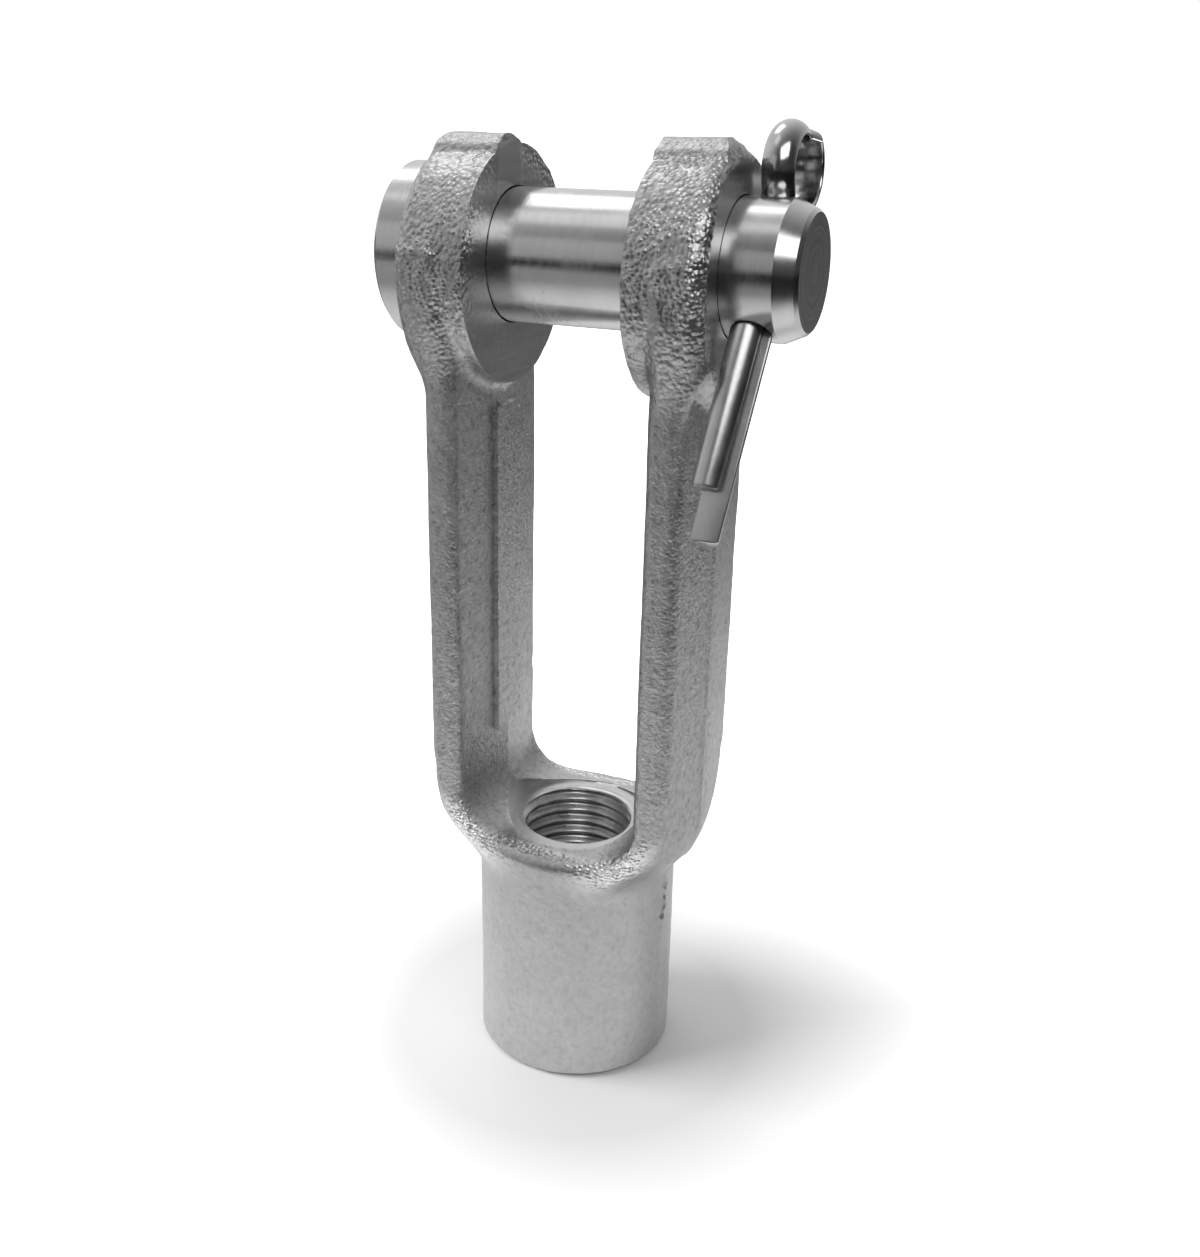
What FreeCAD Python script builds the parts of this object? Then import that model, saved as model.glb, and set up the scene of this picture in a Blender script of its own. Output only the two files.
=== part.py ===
"""Female clevis: a forged adjustable yoke end with its clevis pin and cotter pin.

The frame is millimetres with +Z up. The origin is on the thread axis at the end of the
shank, +X runs along the clevis pin towards its chamfered end, and +Y is the back.
"""

import FreeCAD, Part
import math
import os

V = FreeCAD.Vector
X_AXIS = V(1, 0, 0)
Y_AXIS = V(0, 1, 0)
Z_AXIS = V(0, 0, 1)
ORIGIN = V(0, 0, 0)

# Thread in the shank: 3/8-24, drilled to its minor diameter and tapped right through
thread_diameter = 9.525
bore_diameter = 8.5
bore_end_countersink = 0.35
bore_mouth_chamfer = 0.2

# Shank and fork base
shank_diameter = 16.2
shank_end_chamfer = 0.45
crotch_height = 20.4
crotch_spot_face_diameter = 11.6
crotch_corner_radius = 3.6
shoulder_top_height = 26.0
shoulder_round = 9.5

# Arms, measured at their front and back faces; draft makes them thicker at mid depth
arm_gap = 14.7
arm_thickness = 2.65
arm_depth = 14.0
arm_edge_radius = 1.0
slot_edge_radius = 0.8
draft_angle = 7.0

# Trimmed flash left along the parting plane on the arms' inner faces and over the ears
arm_flash_width = 3.9
arm_flash_height = 0.25
arm_flash_bottom = 27.5
arm_flash_top = 54.2
ear_flash_foot_width = 3.5
ear_flash_top_width = 1.2
ear_flash_height = 0.6
ear_flash_shift = -1.2
ear_flash_side_height = 0.35
ear_flash_end_bevel = 0.5

# Ears: round bosses whose hole is bored a little above the boss centre
pin_height = 65.0
jaw_width = 11.5
ear_thickness = 5.35
ear_radius = 8.5
ear_drop = 0.7
ear_edge_radius = 1.3
ear_foot_fillet = 0.6
ear_rim_height = 0.3
ear_spot_face_radius = 7.2

# Clevis pin: 3/8 inch
pin_diameter = 9.47
pin_running_clearance = 0.08
pin_head_gap = 0.05
pin_head_diameter = 12.65
pin_head_height = 2.95
pin_head_edge_radius = 0.3
pin_length = 27.4
pin_point_length = 1.55
pin_point_drop = 0.58
pin_end_edge_radius = 0.25
cotter_hole_diameter = 2.9
cotter_hole_distance = 24.15

# Cotter pin: half-round wire folded flat side inwards
cotter_wire_radius = 1.2
cotter_leg_gap = 0.06
cotter_eye_radius = 2.2
cotter_neck_radius = 2.0
cotter_eye_centre = 7.7
cotter_short_leg = 16.05
cotter_long_leg = 19.4
cotter_tilt = 36.4

# Places that follow from the sizes above
half_jaw = jaw_width / 2
ear_outer_x = half_jaw + ear_thickness
ear_blank_x = ear_outer_x + ear_rim_height
ear_centre_height = pin_height - ear_drop
half_depth = arm_depth / 2
draft_bulge = half_depth * math.tan(math.radians(draft_angle))
arm_inner_x = arm_gap / 2
arm_outer_x = arm_inner_x + arm_thickness
shoulder_radius = math.hypot(arm_outer_x, half_depth)
shoulder_ring_radius = shoulder_radius - shoulder_round
shank_radius = shank_diameter / 2
pin_radius = pin_diameter / 2
ear_hole_radius = pin_radius + pin_running_clearance
pin_head_x = -(ear_outer_x + pin_head_gap)
pin_end_x = pin_head_x + pin_length
cotter_x = pin_head_x + cotter_hole_distance
pin_centre = V(0, 0, pin_height)

# Closer than this, two places are the same
touch = 0.001


def arms_outline(y, growth):
    """Closed outline round both arms at depth y, every side moved out by growth."""
    outer = arm_outer_x + growth
    top = ear_centre_height
    bottom = shoulder_top_height - shoulder_round
    corners = [V(-outer, y, bottom), V(outer, y, bottom), V(outer, y, top), V(-outer, y, top)]
    return Part.makePolygon(corners + corners[:1])


def slot_outline(y, growth):
    """Closed outline of the slot between the arms at depth y, every side moved in by growth."""
    inner = arm_inner_x - growth
    floor = crotch_height + growth
    corner = crotch_corner_radius - growth
    middle = corner * (1 - math.sqrt(0.5))
    top = ear_centre_height + ear_radius
    wall_foot = floor + corner
    curves = [
        Part.LineSegment(V(inner, y, top), V(inner, y, wall_foot)),
        Part.Arc(
            V(inner, y, wall_foot),
            V(inner - middle, y, floor + middle),
            V(inner - corner, y, floor),
        ),
        Part.LineSegment(V(inner - corner, y, floor), V(corner - inner, y, floor)),
        Part.Arc(
            V(corner - inner, y, floor),
            V(middle - inner, y, floor + middle),
            V(-inner, y, wall_foot),
        ),
        Part.LineSegment(V(-inner, y, wall_foot), V(-inner, y, top)),
        Part.LineSegment(V(-inner, y, top), V(inner, y, top)),
    ]
    return Part.Wire([curve.toShape() for curve in curves])


def drafted(outline, reach):
    """Loft an outline both ways from the parting plane with the forging's draft."""
    end_growth = draft_bulge - reach * math.tan(math.radians(draft_angle))
    halves = []
    for side in (1, -1):
        sections = [outline(0, draft_bulge), outline(side * reach, end_growth)]
        halves.append(Part.makeLoft(sections, True, True))
    return halves[0].fuse(halves[1]).removeSplitter()


def revolved(points, axis_point, axis):
    """Solid of revolution of a closed polygon."""
    face = Part.Face(Part.makePolygon(points + points[:1]))
    return face.revolve(axis_point, axis, 360)


def round_edges(solid, radius, wanted):
    """Round the edges that the function wanted picks by their middle point and height."""
    picked = []
    for edge in solid.Edges:
        middle = edge.valueAt((edge.FirstParameter + edge.LastParameter) / 2)
        if wanted(middle, edge.BoundBox.ZLength):
            picked.append(edge)
    return solid.makeFillet(radius, picked)


def fork():
    """Arms, shoulders and shank in one forging, with the slot between the arms."""
    block = drafted(arms_outline, half_depth).common(shoulder_envelope()).removeSplitter()
    body = block.fuse(shank()).removeSplitter()

    def outside_edge(middle, rise):
        on_face = abs(abs(middle.y) - half_depth) < touch
        on_shank = abs(math.hypot(middle.x, middle.y) - shank_radius) < touch
        between = touch < middle.z < shoulder_top_height - touch
        return (on_face and rise > touch) or (on_shank and between and rise < touch)

    body = round_edges(body, arm_edge_radius, outside_edge)
    slot = drafted(slot_outline, max(half_depth, shank_radius) + arm_edge_radius)

    def slot_rim(middle, rise):
        outside = abs(middle.y) > half_depth - touch
        return outside and slot.distToShape(Part.Vertex(middle))[0] < touch

    return round_edges(body.cut(slot), slot_edge_radius, slot_rim)


def shoulder_envelope():
    """Round envelope whose arc, tangent to the arms' corners, draws the shoulders in to the shank."""
    ring = shoulder_ring_radius
    top = shoulder_top_height
    bottom = top - shoulder_round
    slant = shoulder_round * math.sqrt(0.5)
    wide = shoulder_radius
    ceiling = top + pin_height
    outline = [
        Part.LineSegment(V(0, 0, bottom), V(ring, 0, bottom)),
        Part.Arc(V(ring, 0, bottom), V(ring + slant, 0, top - slant), V(wide, 0, top)),
        Part.LineSegment(V(wide, 0, top), V(wide, 0, ceiling)),
        Part.LineSegment(V(wide, 0, ceiling), V(0, 0, ceiling)),
        Part.LineSegment(V(0, 0, ceiling), V(0, 0, bottom)),
    ]
    face = Part.Face(Part.Wire([curve.toShape() for curve in outline]))
    return face.revolve(ORIGIN, Z_AXIS, 360)


def shank():
    """Round shank, carried up between the shoulders, with its end edge chamfered."""
    outer = shank_radius
    points = [
        V(0, 0, 0),
        V(outer - shank_end_chamfer, 0, 0),
        V(outer, 0, shank_end_chamfer),
        V(outer, 0, shoulder_top_height),
        V(0, 0, shoulder_top_height),
    ]
    return revolved(points, ORIGIN, Z_AXIS)


def ear(side):
    """One round boss, its outer edge rounded by the die; side is +1 or -1 along X."""
    outer = ear_blank_x
    radius = ear_radius
    soft = ear_edge_radius
    middle = soft * (1 - math.sqrt(0.5))
    outline = [
        Part.LineSegment(V(half_jaw, 0, 0), V(half_jaw, 0, radius)),
        Part.LineSegment(V(half_jaw, 0, radius), V(outer - soft, 0, radius)),
        Part.Arc(
            V(outer - soft, 0, radius),
            V(outer - middle, 0, radius - middle),
            V(outer, 0, radius - soft),
        ),
        Part.LineSegment(V(outer, 0, radius - soft), V(outer, 0, 0)),
        Part.LineSegment(V(outer, 0, 0), V(half_jaw, 0, 0)),
    ]
    face = Part.Face(Part.Wire([curve.toShape() for curve in outline]))
    boss = face.revolve(ORIGIN, X_AXIS, 360)
    if side < 0:
        boss = boss.mirror(ORIGIN, X_AXIS)
    boss.translate(V(0, 0, ear_centre_height))
    return boss


def ear_flash(side):
    """Trimmed flash over the top of one ear: a low ridge with bevelled sides and end."""
    foot = ear_flash_foot_width / 2
    land = ear_flash_top_width / 2
    base = ear_centre_height + math.sqrt(ear_radius**2 - (foot - ear_flash_shift) ** 2)
    top = ear_centre_height + ear_radius + ear_flash_height
    length = ear_blank_x - ear_edge_radius / 2 - half_jaw
    side_top = base + ear_flash_side_height
    section = [
        (-foot, base),
        (-foot, side_top),
        (-land, top),
        (land, top),
        (foot, side_top),
        (foot, base),
    ]
    points = [V(half_jaw, y + ear_flash_shift, z) for y, z in section]
    ridge = Part.Face(Part.makePolygon(points + points[:1])).extrude(V(length, 0, 0))
    end_x = half_jaw + length

    def end_top(edge):
        box = edge.BoundBox
        return abs(box.XMin - end_x) < touch and abs(box.ZMin - top) < touch and box.XLength < touch

    picked = [edge for edge in ridge.Edges if end_top(edge)]
    ridge = ridge.makeChamfer(ear_flash_end_bevel, picked)
    return ridge.mirror(ORIGIN, X_AXIS) if side < 0 else ridge


def arm_flash(side):
    """Flat strip that the trimming tool leaves along the inner face of one arm."""
    inner_face = arm_inner_x - draft_bulge - arm_flash_height
    strip = Part.makeBox(
        arm_outer_x - inner_face,
        arm_flash_width,
        arm_flash_top - arm_flash_bottom,
        V(inner_face, -arm_flash_width / 2, arm_flash_bottom),
    )
    return strip.mirror(ORIGIN, X_AXIS) if side < 0 else strip


def fork_with_ears():
    """The forging's blank: the fork with both bosses, blended where they stand on the arms."""
    arms = fork()
    ears = ear(1).fuse(ear(-1))

    def ear_foot(middle, rise):
        point = Part.Vertex(middle)
        return all(solid.distToShape(point)[0] < touch for solid in (arms, ears))

    return round_edges(arms.fuse(ears).removeSplitter(), ear_foot_fillet, ear_foot)


def yoke():
    """The whole forging with its machined faces, pin holes and tapping bore."""
    body = fork_with_ears()
    for side in (1, -1):
        body = body.fuse([ear_flash(side), arm_flash(side)])
    body = body.cut([threaded_bore(), crotch_spot_face(), pin_hole()])
    body = body.cut([outer_spot_face(1), outer_spot_face(-1)])
    return body.removeSplitter()


def crotch_spot_face():
    """Cutter path that levels the crotch floor round the bore."""
    return Part.makeCylinder(
        crotch_spot_face_diameter / 2,
        shoulder_top_height - crotch_height,
        V(0, 0, crotch_height),
    )


def outer_spot_face(side):
    """Cutter path that levels the outer side of one ear for the pin head or the cotter."""
    start = pin_centre + X_AXIS * ear_outer_x
    cutter = Part.makeCylinder(ear_spot_face_radius, ear_thickness, start, X_AXIS)
    return cutter.mirror(ORIGIN, X_AXIS) if side < 0 else cutter


def pin_hole():
    """Hole for the clevis pin, through both ears."""
    start = V(-ear_blank_x, 0, pin_height)
    return Part.makeCylinder(ear_hole_radius, 2 * ear_blank_x, start, X_AXIS)


def threaded_bore():
    """Bore at the thread's minor diameter, countersunk at both ends."""
    bore = bore_diameter / 2
    wide = thread_diameter / 2 + bore_end_countersink
    lead = wide - bore
    mouth = bore + bore_mouth_chamfer
    points = [
        V(0, 0, 0),
        V(wide, 0, 0),
        V(bore, 0, lead),
        V(bore, 0, crotch_height - bore_mouth_chamfer),
        V(mouth, 0, crotch_height),
        V(0, 0, crotch_height),
    ]
    return revolved(points, ORIGIN, Z_AXIS)


def clevis_pin():
    """Turned pin with a flat head and a cross hole for the cotter pin."""
    head_outer = pin_head_x - pin_head_height
    head_radius = pin_head_diameter / 2
    soft = pin_head_edge_radius
    points = [
        V(head_outer, 0, 0),
        V(head_outer, 0, head_radius - soft),
        V(head_outer + soft, 0, head_radius),
        V(pin_head_x - soft / 2, 0, head_radius),
        V(pin_head_x, 0, head_radius - soft / 2),
        V(pin_head_x, 0, pin_radius),
        V(pin_end_x - pin_point_length, 0, pin_radius),
        V(pin_end_x - pin_end_edge_radius, 0, pin_radius - pin_point_drop),
        V(pin_end_x, 0, pin_radius - pin_point_drop - pin_end_edge_radius),
        V(pin_end_x, 0, 0),
    ]
    pin = revolved(points, ORIGIN, X_AXIS)
    start = V(cotter_x, 0, -pin_diameter)
    pin = pin.cut(Part.makeCylinder(cotter_hole_diameter / 2, 2 * pin_diameter, start))
    return turned_with_pin(pin)


def turned_with_pin(shape):
    """Turn a shape about the pin axis to the cotter's tilt and lift it to the ears."""
    shape.rotate(ORIGIN, X_AXIS, -cotter_tilt)
    shape.translate(pin_centre)
    return shape


def wire_section(centre, outward):
    """Half-round face of the cotter wire: flat side through centre, round side outward."""
    radius = cotter_wire_radius
    left = centre - X_AXIS * radius
    right = centre + X_AXIS * radius
    arc = Part.Arc(left, centre + outward * radius, right).toShape()
    flat = Part.LineSegment(right, left).toShape()
    return Part.Face(Part.Wire([arc, flat]))


def cotter_pin():
    """Folded half-round wire: two legs, the neck bends and the open eye."""
    half_gap = cotter_leg_gap / 2
    bend_centre_y = half_gap + cotter_neck_radius
    reach = cotter_eye_radius + cotter_neck_radius
    bend_height = cotter_eye_centre - math.sqrt(reach**2 - bend_centre_y**2)
    turn = math.degrees(math.acos(bend_centre_y / reach))
    parts = []
    for side, leg in ((-1, cotter_short_leg), (1, cotter_long_leg)):
        outward = Y_AXIS * side
        foot = V(cotter_x, side * half_gap, -leg)
        parts.append(wire_section(foot, outward).extrude(V(0, 0, leg + bend_height)))
        knee = V(cotter_x, side * half_gap, bend_height)
        bend_axis = V(cotter_x, side * bend_centre_y, bend_height)
        bend = wire_section(knee, outward).revolve(bend_axis, X_AXIS * -side, turn)
        parts.append(bend)
    eye_centre = V(cotter_x, 0, cotter_eye_centre)
    start_angle = math.radians(turn)
    spoke = V(0, math.cos(start_angle), -math.sin(start_angle))
    section = wire_section(eye_centre + spoke * cotter_eye_radius, spoke)
    parts.append(section.revolve(eye_centre, X_AXIS, 180 + 2 * turn))
    wire = parts[0].fuse(parts[1:]).removeSplitter()
    return turned_with_pin(wire)


def write(name, shape):
    """Check one sub-part and write it as parts/name.step."""
    solids = shape.Solids
    box = shape.optimalBoundingBox()
    corners = (box.XMin, box.YMin, box.ZMin, box.XMax, box.YMax, box.ZMax)
    print(name, "solids", len(solids), "valid", shape.isValid(), "volume", round(shape.Volume, 1))
    print("   box", [round(value, 2) for value in corners])
    solids[0].exportStep("parts/%s.step" % name)


os.makedirs("parts", exist_ok=True)
write("yoke", yoke())
write("clevis_pin", clevis_pin())
write("cotter_pin", cotter_pin())
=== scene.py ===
"""Female clevis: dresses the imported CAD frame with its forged, turned and wire surfaces.

Shapes are worked out in millimetres and turned into metres when a mesh is made. The frame is
the CAD's: +Z up the shank, +X along the clevis pin to its chamfered end, +Y to the back.
"""

import itertools
import math

import bpy
import numpy as np
from mathutils import Matrix, Vector


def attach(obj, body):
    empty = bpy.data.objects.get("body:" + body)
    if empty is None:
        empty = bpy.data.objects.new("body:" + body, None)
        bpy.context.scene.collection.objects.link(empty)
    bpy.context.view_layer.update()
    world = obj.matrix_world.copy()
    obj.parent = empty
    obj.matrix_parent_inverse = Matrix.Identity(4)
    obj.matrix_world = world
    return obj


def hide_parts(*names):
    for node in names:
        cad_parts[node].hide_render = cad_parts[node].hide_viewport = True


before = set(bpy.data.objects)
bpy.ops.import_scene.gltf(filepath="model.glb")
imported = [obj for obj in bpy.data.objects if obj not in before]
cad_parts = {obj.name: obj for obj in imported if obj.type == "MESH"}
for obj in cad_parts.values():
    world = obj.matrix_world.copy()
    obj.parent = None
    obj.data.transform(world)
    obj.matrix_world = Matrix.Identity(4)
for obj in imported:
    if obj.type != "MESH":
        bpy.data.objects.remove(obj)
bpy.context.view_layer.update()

METRES = 0.001
DIAGONAL = math.sqrt(0.5)

# Camera, fitted to the photograph; lengths in millimetres, picture places in its pixels
picture_width = 1200
picture_height = 1257
camera_azimuth = 25.663
camera_elevation = 21.755
camera_roll = 0.347
camera_distance = 109.658
camera_target = (-4.093, 0.0, 35.96)
camera_focal_pixels = 1374.444
camera_centre = (535.064, 630.899)
camera_sensor = 36.0
camera_near_metres = 0.005
camera_far_metres = 20

# Shank, bore and fork base
thread_diameter = 9.525
thread_pitch = 25.4 / 24
bore_radius = 4.25
bore_end_radius = 5.1125
bore_mouth_radius = 4.45
shank_radius = 8.1
shank_end_chamfer = 0.45
crotch_height = 20.4
crotch_spot_radius = 5.8
crotch_corner_radius = 3.6
shoulder_top = 26.0
shoulder_round = 9.5
shoulder_blend = 1.4
shoulder_flare = 0.4

# The thread is a sleeve of its own, set in a bore a little over the thread's major diameter
sleeve_gap = 0.16
sleeve_radius = thread_diameter / 2 + sleeve_gap
sleeve_wall = 0.02
thread_bottom = 0.26
thread_top_gap = 0.004
thread_flank_gain = 1.3
thread_root_share = 0.15
thread_turn_steps = 96
thread_profile_steps = 10
thread_smooth_angle = 75

# Arms
arm_inner_x = 7.35
arm_outer_x = 10.0
half_depth = 7.0
arm_edge_radius = 1.0
slot_edge_radius = 0.8
draft = math.radians(7.0)
draft_slope = math.tan(draft)
draft_bulge = half_depth * draft_slope
crest_round = 1.0
shoulder_radius = math.hypot(arm_outer_x, half_depth)
shoulder_ring = shoulder_radius - shoulder_round

# Parting line and trimmed flash
parting_y = -0.7
parting_half_width = 0.22
parting_height = 0.09
parting_start_radius = 7.6
parting_start_fade = 0.3
arm_flash_half_width = 1.95
arm_flash_height = 0.16
arm_flash_bottom = 27.5
arm_flash_top = 54.2
arm_flash_round = 0.15
arm_flash_end_round = 0.1
arm_flash_blend = 0.2
ear_flash_shift = -1.2
ear_flash_foot = 1.75
ear_flash_land = 0.6
ear_flash_top = 73.4
ear_flash_slope = 0.68
ear_flash_end_x = 10.75
ear_flash_end_drop = 0.5
ear_flash_top_round = 0.3
ear_flash_foot_round = 0.2
ear_flash_reach = 0.7
ear_flash_blend = 0.5

# Ears, their feet on the arms and their machined faces
pin_height = 65.0
ear_centre = 64.3
half_jaw = 5.75
ear_outer_x = 11.1
ear_blank_x = 11.4
ear_radius = 8.5
ear_edge_radius = 1.3
ear_spot_radius = 7.2
ear_hole_radius = 4.815
foot_blend = 0.7
foot_blend_growth = 2.0
foot_face_start = 5
foot_face_width = 1.8
foot_side_start = 7
foot_side_width = 1.5

# As-forged relief: sizes and heights of its bumps, and what the rough rims add
relief_band = 1.2
wave_size = 5.0
wave_height = 0.035
lump_size = 1.6
lump_height = 0.012
rough_lump_height = 0.016
fine_size = 0.85
fine_height = 0.012
rough_fine_height = 0.014
bead_size = 0.9
bead_share = 0.4
bead_height = 0.05
dent_size = 1.5
dent_share = 0.08
dent_depth = 0.07
relief_base = 0.05
rough_base = 0.04
noise_gain = 1.6

# Where the skin is rough: the ears' rims, except on their ridges, and the rim of the crotch
crown_bottom = 54
crown_rise = 10
crown_rim_start = 6.5
crown_rim_width = 1.2
ridge_bottom = 71.9
ridge_half_width = 2.1
ridge_fade = 0.5
ridge_smoothing = 0.8
ridge_polish = 0.7
burr_inset = 0.8
burr_spread = 1.1
burr_depth = 6.9
burr_depth_spread = 0.6
burr_top = 24.5
burr_fade = 3
burr_height = 0.24
burr_variation = 0.14
burr_size = 1.1

# Fades between looks: round the machined faces, and from the shank up to the arms
machined_fade = 0.15
arms_bottom = 19
arms_rise = 5

# Pits in the parting line below the right shoulder, as (height, sideways shift)
pit_places = ((16.1, 0.1), (15.1, 0.2), (14.1, 0.0), (13.4, -0.2))
pit_depth = 0.22
pit_floor = 1.3
pit_radius = 0.35

# Clevis pin and cotter pin
cotter_x = 13.0
cotter_tilt = math.radians(36.4)
cotter_wire_radius = 1.07
cotter_half_width = 0.99
cotter_half_gap = 0.10
cotter_side_step = 0.32
cotter_side_turn = 0.1
cotter_eye_radius = 2.2
cotter_neck_radius = 2.0
cotter_eye_centre = 7.7
cotter_short_leg = 16.05
cotter_long_leg = 19.4
cotter_edge_radius = 0.14
cotter_twist = math.radians(1.5)
cotter_eye_widening = 0.2
cotter_end_scale = 0.88
cotter_end_length = 0.12
cotter_smooth_angle = 50
cotter_dull_fade = 3
cotter_bend_steps = 24
cotter_eye_steps = 72
cotter_bend_y = cotter_half_gap + cotter_neck_radius
cotter_bend_reach = cotter_eye_radius + cotter_neck_radius
cotter_bend_z = cotter_eye_centre - math.sqrt(cotter_bend_reach**2 - cotter_bend_y**2)
cotter_bend_turn = math.acos(cotter_bend_y / cotter_bend_reach)

# Floor and room; the floor's reach and its fades are in metres
floor_reach = 4.0
paper_seen_grey = 0.74
paper_grey = 0.86
# Painted light: to the camera the floor glows, faintly next to the fork and fully from paper_far
# out, which whitens the floor and cuts its shadow short
paper_painted_glow = 0.03
paper_near = 0.015
paper_far = 0.047
paper_far_painted_glow = 1.0
# Painted shade: as the steel sees it, the floor darkens away from this middle point, and a painted
# shadow darkens it towards the right front, where the fork's shadow falls
paper_painted_shade_middle = (0.02, 0.03, 0.0)
paper_painted_shade_start = 0.05
paper_painted_shade_end = 0.14
paper_painted_shade_share = 0.27
paper_painted_shadow_direction = (0.8, -0.6, 0.0)
paper_painted_shadow_start = 0.05
paper_painted_shadow_end = 0.11
paper_painted_shadow_grey = 0.05
room_pale_direction = (-0.75, 0.6, 0.2)
room_dark_facing = -0.5
room_pale_facing = 0.9
room_dark = 0.06
room_pale = 0.82

# Lamps as (name, direction from the object, size, radiance), all at one distance
lamp_aim = (0.0, 0.0, 50.0)
lamp_distance = 420
lamps = (
    ("key", (-0.40, 0.37, 0.84), (170, 180), 1.6),
    ("overhead", (-0.36, -0.24, 0.90), (150, 150), 0.5),
    ("fill", (-0.40, -0.85, 0.35), (220, 220), 0.3),
    ("front_top", (0.50, -0.53, 0.68), (360, 220), 2.4),
    ("shade", (-0.78, -0.45, 0.55), (260, 260), 8.6),
)

# Surface patterns: repeats per metre, and depths of the bumps in metres
patch_scale = 260
coarse_scale = 1900
grit_scale = 4200
bead_scale = 2600
scratch_scales = (900, 90, 2600)
turning_scales = (2200, 40, 40)
streak_scales = (50, 900, 900)
groove_scale = 2600
thread_grey_scale = 900
thread_polish_scale = 400
wire_patch_scale = 600
wire_grain_scale = 2500
forged_bump = 0.00003
turned_bump = 0.000006
wire_bump = 0.000008

cell_size = 0.3
lattice_margin = 5
lattice_offset = 1.73
crossing_refinements = 4
corner_pull = 0.06
slope_step = 0.02
forging_smooth_angle = 32

# Random tables that the lattice's hash looks values up in
table_size = 4096
hash_primes = (73856093, 19349663, 83492791)
hash_seed_prime = 2654435761
hash_mixers = (2246822519, 3266489917)
draw = np.random.default_rng(7)
random_places = draw.random((table_size, 3))
random_sizes = draw.random(table_size)
random_slopes = draw.normal(size=(table_size, 3))
random_slopes /= np.linalg.norm(random_slopes, axis=1)[:, None]


def rounded_max(a, b, radius):
    """Field of where both a and b hold, with the edge between them rounded."""
    corner = np.hypot(np.maximum(a + radius, 0), np.maximum(b + radius, 0))
    return np.minimum(np.maximum(a, b), -radius) + corner


def rounded_min(a, b, radius):
    """Field of where a or b holds, with the corner between them filled by a round."""
    return -rounded_max(-a, -b, radius)


def smooth_step(value):
    """Ease from 0 to 1 while the value goes from 0 to 1."""
    held = np.clip(value, 0, 1)
    return held * held * (3 - 2 * held)


def slot_field(side, depth, z):
    """Signed distance to the slot between the arms, which is negative inside it."""
    growth = draft_bulge - depth * draft_slope
    inner = (side - arm_inner_x + growth) * math.cos(draft)
    return rounded_max(inner, crotch_height + growth - z, crotch_corner_radius - growth)


def fork_field(x, y, z):
    """Signed distance to the drafted fork with its shoulders and shank, before machining."""
    side = np.abs(x)
    depth = np.abs(y)
    radial = np.hypot(x, y)
    crest = draft_bulge - np.hypot(depth, crest_round) * draft_slope
    outer = (side - arm_outer_x - crest) * math.cos(draft)
    faces = rounded_max(outer, depth - half_depth, arm_edge_radius)
    below = np.hypot(np.maximum(radial - shoulder_ring, 0), shoulder_top - z) - shoulder_round
    above = radial - shoulder_radius - shoulder_flare * (z - shoulder_top)
    envelope = np.where(z > shoulder_top, above, below)
    block = rounded_max(np.maximum(faces, z - ear_centre), envelope, arm_edge_radius)
    chamfer = (radial - shank_radius - z + shank_end_chamfer) * DIAGONAL
    stem = np.maximum(np.maximum(radial - shank_radius, -z), np.maximum(chamfer, z - shoulder_top))
    body = rounded_min(block, stem, shoulder_blend)
    return rounded_max(body, -slot_field(side, depth, z), slot_edge_radius)


def ear_field(x, y, z):
    """Signed distance to the two round bosses."""
    side = np.abs(x)
    radial = np.hypot(y, z - ear_centre) - ear_radius
    return np.maximum(rounded_max(radial, side - ear_blank_x, ear_edge_radius), half_jaw - side)


def arm_flash_field(x, y, z):
    """Signed distance to the strips of trimmed flash on the arms' inner faces."""
    side = np.abs(x)
    strip_face = arm_inner_x - draft_bulge - arm_flash_height
    ends = np.maximum(arm_flash_bottom - z, z - arm_flash_top)
    strip = rounded_max(strip_face - side, np.abs(y) - arm_flash_half_width, arm_flash_round)
    return np.maximum(rounded_max(strip, ends, arm_flash_end_round), side - arm_outer_x)


def ear_flash_field(x, y, z):
    """Signed distance to the ridges of trimmed flash over the ears."""
    side = np.abs(x)
    across = np.abs(y - ear_flash_shift)
    over_top = z - ear_flash_top
    slope_cos = 1 / math.hypot(1, ear_flash_slope)
    bevel = (over_top + (across - ear_flash_land) * ear_flash_slope) * slope_cos
    end_bevel = (over_top + (side - ear_flash_end_x) + ear_flash_end_drop) * DIAGONAL
    ends = np.maximum(side - ear_flash_end_x, half_jaw - side)
    ridge = rounded_max(bevel, over_top, ear_flash_top_round)
    ridge = rounded_max(ridge, across - ear_flash_foot, ear_flash_foot_round)
    ridge = np.maximum(np.maximum(ridge, end_bevel), ends)
    return np.maximum(ridge, ear_centre + ear_flash_reach * ear_radius - z)


def forged_field(x, y, z):
    """Signed distance to the forging before it is machined."""
    side = np.abs(x)
    near_face = smooth_step((np.abs(y) - foot_face_start) / foot_face_width)
    near_side = smooth_step((side - foot_side_start) / foot_side_width)
    blend = foot_blend + foot_blend_growth * near_face * near_side
    blank = rounded_min(fork_field(x, y, z), ear_field(x, y, z), blend)
    blank = rounded_min(blank, arm_flash_field(x, y, z), arm_flash_blend)
    blank = rounded_min(blank, ear_flash_field(x, y, z), ear_flash_blend)
    return np.maximum(blank, side - ear_blank_x)


def cut_field(x, y, z):
    """Positive inside the cutters' paths, zero on the machined faces."""
    side = np.abs(x)
    radial = np.hypot(x, y)
    from_pin = np.hypot(y, z - pin_height)
    hole = ear_hole_radius - from_pin
    spot = np.minimum(side - ear_outer_x, ear_spot_radius - from_pin)
    crotch = np.minimum(z - crotch_height, crotch_spot_radius - radial)
    crotch = np.minimum(crotch, shoulder_top - z)
    bore = np.minimum(sleeve_radius - radial, shoulder_top - z)
    countersink = (bore_end_radius - radial - z) * DIAGONAL
    jaw = np.minimum(half_jaw - side, z - arm_flash_top)
    cuts = np.maximum(np.maximum(hole, spot), np.maximum(crotch, bore))
    return np.maximum(np.maximum(cuts, countersink), np.maximum(jaw, -z))


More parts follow.
